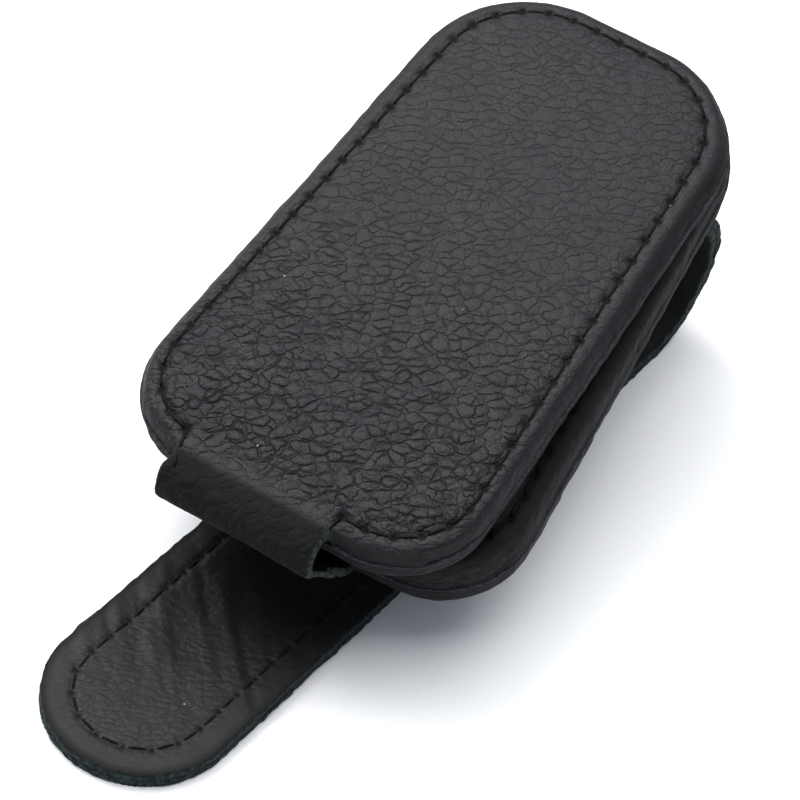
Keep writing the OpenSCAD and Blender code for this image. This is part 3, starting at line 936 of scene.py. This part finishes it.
# %% Pebbled leather
def pebbled_leather(name, pebble, light, dark, crease, raw_dark, raw_light, relief, rough,
                    lines=1.0):
    mat, skin = new_material(name)
    cut = add(mat, "Attribute", {"attribute_name": "cut"}).outputs["Vector"]
    # the pattern is turned to the hide's direction, and a noise bends it at two sizes
    grain = add(mat, "Mapping", {"vector_type": "TEXTURE", "Rotation": (0, 0, math.radians(-57)),
                                 "Scale": (1.35, 1, 1)}, {"Vector": cut}).outputs["Vector"]
    for size, reach in ((3.4, 0.9), (0.9, 0.30), (0.42, 0.13)):
        push = add(mat, "TexNoise", {"Scale": 1 / size, "Detail": 2.0, "Roughness": 0.55},
                   {"Vector": grain}).outputs["Color"]
        push = add(mat, "VectorMath", {"operation": "MULTIPLY_ADD", 1: (2 * reach,) * 3,
                                       2: (-reach,) * 3}, {0: push}).outputs["Vector"]
        grain = add(mat, "VectorMath", {"operation": "ADD"}, {0: grain, 1: push}).outputs["Vector"]
    # distance from the nearest crease, here and a little way across the hide's direction: the
    # difference tells which way the crease runs
    big = add(mat, "TexVoronoi", {"feature": "DISTANCE_TO_EDGE", "Scale": 1 / pebble},
              {"Vector": grain}).outputs["Distance"]
    aside = add(mat, "VectorMath", {"operation": "ADD", 1: (0, 0.15, 0)},
                {0: grain}).outputs["Vector"]
    aside = add(mat, "TexVoronoi", {"feature": "DISTANCE_TO_EDGE", "Scale": 1 / pebble},
                {"Vector": aside}).outputs["Distance"]
    along = add(mat, "Math", {"operation": "SUBTRACT"}, {0: aside, 1: big}).outputs["Value"]
    along = add(mat, "Math", {"operation": "ABSOLUTE"}, {0: along}).outputs["Value"]
    along = add(mat, "MapRange", {"From Min": 0.02, "From Max": 0.10 / pebble, "To Min": 0.30,
                                  "To Max": 1.0}, {"Value": along}).outputs["Result"]
    # a crease is wide in places and closes up in others
    gape = add(mat, "TexNoise", {"Scale": 0.5 / pebble, "Detail": 2.0},
               {"Vector": cut}).outputs["Fac"]
    wide = add(mat, "MapRange", {"From Min": 0.36, "From Max": 0.68, "To Min": 0.02,
                                 "To Max": 0.17}, {"Value": gape}).outputs["Result"]
    crack = add(mat, "MapRange", {"interpolation_type": "SMOOTHSTEP", "From Min": 0.0,
                                  "To Min": lines, "To Max": 0.0},
                {"Value": big, "From Max": wide}).outputs["Result"]
    crack = add(mat, "Math", {"operation": "MULTIPLY"}, {0: crack, 1: along}).outputs["Value"]
    # the grain is deepest by the fold, where the hide is worked most, and is pulled flat where
    # the leather is drawn over the padded border
    x = add(mat, "SeparateXYZ", links={"Vector": cut}).outputs["X"]
    deep = add(mat, "MapRange", {"interpolation_type": "SMOOTHSTEP", "From Min": -46.0,
                                 "From Max": 14.0, "To Min": 1.0, "To Max": 0.26},
               {"Value": x}).outputs["Result"]
    inside = add(mat, "Attribute", {"attribute_name": "inside"}).outputs["Fac"]
    drawn = add(mat, "MapRange", {"interpolation_type": "SMOOTHSTEP", "From Min": 2.0,
                                  "From Max": 4.2, "To Min": 0.35, "To Max": 1.0},
                {"Value": inside}).outputs["Result"]
    band = add(mat, "MapRange", {"From Min": -3.5, "From Max": -1.2, "To Min": 1.0,
                                 "To Max": 0.0}, {"Value": inside}).outputs["Result"]
    drawn = add(mat, "Math", {"operation": "MAXIMUM"}, {0: drawn, 1: band}).outputs["Value"]
    deep = add(mat, "Math", {"operation": "MULTIPLY"}, {0: deep, 1: drawn}).outputs["Value"]
    keep = add(mat, "Math", {"operation": "MULTIPLY_ADD", 1: 0.85, 2: 0.02},
               {0: deep}).outputs["Value"]
    crack = add(mat, "Math", {"operation": "MULTIPLY"}, {0: crack, 1: keep}).outputs["Value"]
    # slow variation of the dye, and the fine mottling of the pores
    tone = add(mat, "TexNoise", {"Scale": 0.09, "Detail": 8.0, "Roughness": 0.68},
               {"Vector": cut}).outputs["Fac"]
    base = ramp(mat, tone, [(0.34, dark), (0.66, light)])
    # the creases between the pebbles are painted near-black: painted shade in the creases
    shade = add(mat, "Mix", {"data_type": "RGBA", 7: colour(crease)},
                {0: crack, 6: base}).outputs[2]
    # painted shade on the sides and the fold: the soft light alone leaves them too bright
    rim = add(mat, "MapRange", {"interpolation_type": "SMOOTHSTEP", "From Min": -0.2,
                                "From Max": 1.6, "To Min": 1.0, "To Max": 0.0},
              {"Value": inside}).outputs["Result"]
    shade = add(mat, "Mix", {"data_type": "RGBA", 7: colour("060607")},
                {0: rim, 6: shade}).outputs[2] if lines == 1.0 else shade
    # needle holes and the groove under the thread are painted near-black: painted shade in these
    # recesses
    pit = add(mat, "Attribute", {"attribute_name": "pit"}).outputs["Fac"]
    pit = add(mat, "MapRange", {"interpolation_type": "SMOOTHSTEP", "From Min": 0.40,
                                "From Max": 0.78}, {"Value": pit}).outputs["Result"]
    shade = add(mat, "Mix", {"data_type": "RGBA", 7: colour("030303")},
                {0: pit, 6: shade}).outputs[2]
    # raw cut edges show the pale, fibrous middle of the hide; on the seam's lip the same pale
    # colours are painted highlight
    fibre = add(mat, "TexNoise", {"Scale": 1.6, "Detail": 6.0, "Roughness": 0.7},
                {"Vector": cut}).outputs["Fac"]
    bare = ramp(mat, fibre, [(0.45, raw_dark), (0.74, raw_light)])
    edge = add(mat, "Attribute", {"attribute_name": "raw"}).outputs["Fac"]
    shade = add(mat, "Mix", {"data_type": "RGBA"}, {0: edge, 6: shade, 7: bare}).outputs[2]
    # a few specks of lint
    lint = add(mat, "TexVoronoi", {"Scale": 0.13}, {"Vector": cut}).outputs["Distance"]
    lint = add(mat, "MapRange", {"From Min": 0.012, "From Max": 0.02, "To Min": 0.6,
                                 "To Max": 0.0}, {"Value": lint}).outputs["Result"]
    shade = add(mat, "Mix", {"data_type": "RGBA", 7: colour("a2a4a8")},
                {0: lint, 6: shade}).outputs[2]
    # relief: each pebble is a low dome, with pores on it too fine to see one by one
    dome = add(mat, "TexVoronoi", {"Scale": 1 / pebble}, {"Vector": grain}).outputs["Distance"]
    crown = add(mat, "MapRange", {"interpolation_type": "SMOOTHSTEP", "From Min": 0.10,
                                  "From Max": 0.80, "To Min": 1.0, "To Max": 0.0},
                {"Value": dome}).outputs["Result"]
    crown = add(mat, "Math", {"operation": "MULTIPLY"}, {0: crown, 1: deep}).outputs["Value"]
    pore = add(mat, "TexNoise", {"Scale": 2.6, "Detail": 4.0}, {"Vector": cut}).outputs["Fac"]
    height = add(mat, "Math", {"operation": "MULTIPLY_ADD", 1: -0.8},
                 {0: crack, 2: crown}).outputs["Value"]
    height = add(mat, "Math", {"operation": "MULTIPLY_ADD", 1: 0.4},
                 {0: pore, 2: height}).outputs["Value"]
    bump = add(mat, "Bump", {"Strength": 1.0, "Distance": relief * MM},
               {"Height": height}).outputs["Normal"]
    gloss = add(mat, "MapRange", {"From Min": 0.3, "From Max": 0.7, "To Min": rough - 0.05,
                                  "To Max": rough + 0.08}, {"Value": tone}).outputs["Result"]
    dull = add(mat, "Math", {"operation": "MAXIMUM"}, {0: edge, 1: crack}).outputs["Value"]
    dull = add(mat, "Math", {"operation": "MAXIMUM"}, {0: dull, 1: pit}).outputs["Value"]
    dull = add(mat, "Math", {"operation": "MAXIMUM"}, {0: dull, 1: rim}).outputs["Value"]
    gloss = add(mat, "Math", {"operation": "MULTIPLY_ADD", 1: 0.35, "use_clamp": True},
                {0: dull, 2: gloss}).outputs["Value"]
    skin.inputs["IOR"].default_value = 1.45
    skin.inputs["Specular IOR Level"].default_value = 0.27
    links = mat.node_tree.links
    links.new(shade, skin.inputs["Base Color"])
    links.new(gloss, skin.inputs["Roughness"])
    links.new(bump, skin.inputs["Normal"])
    return mat


body_leather = pebbled_leather("pebbled_calf_leather", 1.45, "19191c", "101012", "020202",
                               "141a1b", "56625f", 0.32, 0.50)
tongue_leather = pebbled_leather("fine_calf_leather", 0.95, "151517", "0d0d0f", "050505",
                                 "06100f", "3b4d49", 0.06, 0.52, 0.5)
# the seam's lip is coloured lighter than the leather: painted highlight along the seam
seam_leather = pebbled_leather("seam_lip_painted_highlight", 1.45, "2c2d2f", "1e1f21", "0c0c0d",
                               "222427", "47494d", 0.05, 0.55, 0.9)

# %% [markdown]
# The rest is metal, thread, board and foam. One function makes them all: a noise, stretched
# along the way the stuff was drawn or rolled, moves the colour, the gloss and the relief. Metals
# catch the light in broken streaks, board looks fibrous, and foam has small round cells.


# %% Metal, thread, board and foam
def plain_stuff(name, dark, light, grain_mm, rough, metal=0.0, relief=0.01, cells=False,
                shine=0.5):
    """grain_mm is the size of the pattern along x, y and z."""
    mat, skin = new_material(name)
    where = add(mat, "TexCoord").outputs["Object"]
    where = add(mat, "Mapping", {"Scale": tuple(1000 / g for g in grain_mm)},
                {"Vector": where}).outputs["Vector"]
    if cells:
        fac = add(mat, "TexVoronoi", {"Scale": 1.0}, {"Vector": where}).outputs["Distance"]
    else:
        fac = add(mat, "TexNoise", {"Scale": 1.0, "Detail": 5.0, "Roughness": 0.6},
                  {"Vector": where}).outputs["Fac"]
    shade = ramp(mat, fac, [(0.3, dark), (0.7, light)])
    gloss = add(mat, "MapRange", {"From Min": 0.3, "From Max": 0.7, "To Min": rough - 0.06,
                                  "To Max": rough + 0.08}, {"Value": fac}).outputs["Result"]
    bump = add(mat, "Bump", {"Strength": 0.7, "Distance": relief * MM},
               {"Height": fac}).outputs["Normal"]
    skin.inputs["Metallic"].default_value = metal
    skin.inputs["Specular IOR Level"].default_value = shine
    links = mat.node_tree.links
    links.new(shade, skin.inputs["Base Color"])
    links.new(gloss, skin.inputs["Roughness"])
    links.new(bump, skin.inputs["Normal"])
    return mat


# waxed polyester: nearly black, its twist seen as tiny light and dark turns
thread_mat = plain_stuff("waxed_polyester_thread", "030304", "0a0a0b", (0.3, 0.3, 0.3), 0.7,
                         relief=0.03, shine=0.12)
# blued spring steel: grey streaks along the strip
steel_mat = plain_stuff("blued_spring_steel", "6f767c", "9aa0a4", (6, 0.25, 0.25), 0.32, 1.0)
# satin nickel: pale, even and softly bright
nickel_mat = plain_stuff("satin_nickel_plate", "8b8f93", "a9adb0", (0.5, 0.5, 0.5), 0.26, 1.0)
# a plated magnet is brighter than the steel beside it
magnet_mat = plain_stuff("plated_neodymium_magnet", "a4a8ac", "c0c4c8", (1.2, 1.2, 1.2), 0.18, 1.0)
# rolled steel sheet: broad, faint streaks
plate_mat = plain_stuff("rolled_steel_sheet", "7e8286", "a0a4a8", (9, 0.5, 0.5), 0.34, 1.0)
# fibre board: matt, warm and fibrous
board_mat = plain_stuff("pressed_fibre_board", "6f6350", "94866a", (2.2, 0.5, 0.5), 0.85,
                        relief=0.05)
# foam: matt and pale, with round cells
foam_mat = plain_stuff("closed_cell_foam", "b9b6aa", "dcdad0", (0.7, 0.7, 0.7), 0.9, relief=0.1,
                       cells=True)

# %% A finish for every piece and every carried-over node
for o in (flap_seam, base_seam):
    o.data.materials.append(seam_leather)
bend_spring.data.materials.append(steel_mat)
for stuff, pieces in (
        (body_leather, (flap_top, flap_under, base_top, base_under)),
        (tongue_leather, (strap_top, strap_under, mount_outer, mount_inner)),
        (thread_mat, (flap_thread, flap_thread_low, base_thread, base_thread_low,
                      strap_thread, strap_thread_low))):
    for o in pieces:
        o.data.materials.clear()
        o.data.materials.append(stuff)
# the first word that a node's name holds tells its stuff; the base's board is the steel one
BY_NAME = (("rivet", nickel_mat), ("magnet", magnet_mat), ("base_board", plate_mat),
           ("board", board_mat), ("padding", foam_mat), ("steel", steel_mat),
           ("stitching", thread_mat), ("arm_", tongue_leather), ("bend_", tongue_leather),
           ("mount_", tongue_leather), ("leather", body_leather))
for name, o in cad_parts.items():
    stuff = next(m for part, m in BY_NAME if part in name)
    for s in o.material_slots:
        s.material = stuff
    print(name, "-", stuff.name)

# %% Floor, light and world
bpy.ops.mesh.primitive_plane_add(size=3, location=(0, 0, 0))
floor = bpy.context.object
floor.name = "floor"
# plain white paper, with a tooth too fine to see
floor_mat = plain_stuff("white_paper", "f3f3f3", "f5f5f5", (0.8, 0.8, 0.8), 0.88)
floor.data.materials.append(floor_mat)


def soft_box(name, place_mm, size_mm, watts):
    bpy.ops.object.light_add(type="AREA", location=Vector(place_mm) * MM)
    lamp = bpy.context.object
    lamp.name = name
    lamp.data.shape = "RECTANGLE"
    lamp.data.size, lamp.data.size_y = size_mm[0] * MM, size_mm[1] * MM
    lamp.data.energy = watts
    lamp.rotation_mode = "QUATERNION"
    lamp.rotation_quaternion = (-(Vector(place_mm) - Vector((0, 0, 15)))).to_track_quat("-Z", "Y")
    return lamp


soft_box("overhead", (100, 110, 800), (1000, 1000), 10.5)
soft_box("key", (60, 480, 560), (600, 600), 5.0)
world = bpy.data.worlds.new("studio")
bpy.context.scene.world = world
world.use_nodes = True
world.node_tree.nodes["Background"].inputs["Color"].default_value = (0.80, 0.86, 1.0, 1)
world.node_tree.nodes["Background"].inputs["Strength"].default_value = 0.42
bpy.context.scene.view_settings.view_transform = "Standard"
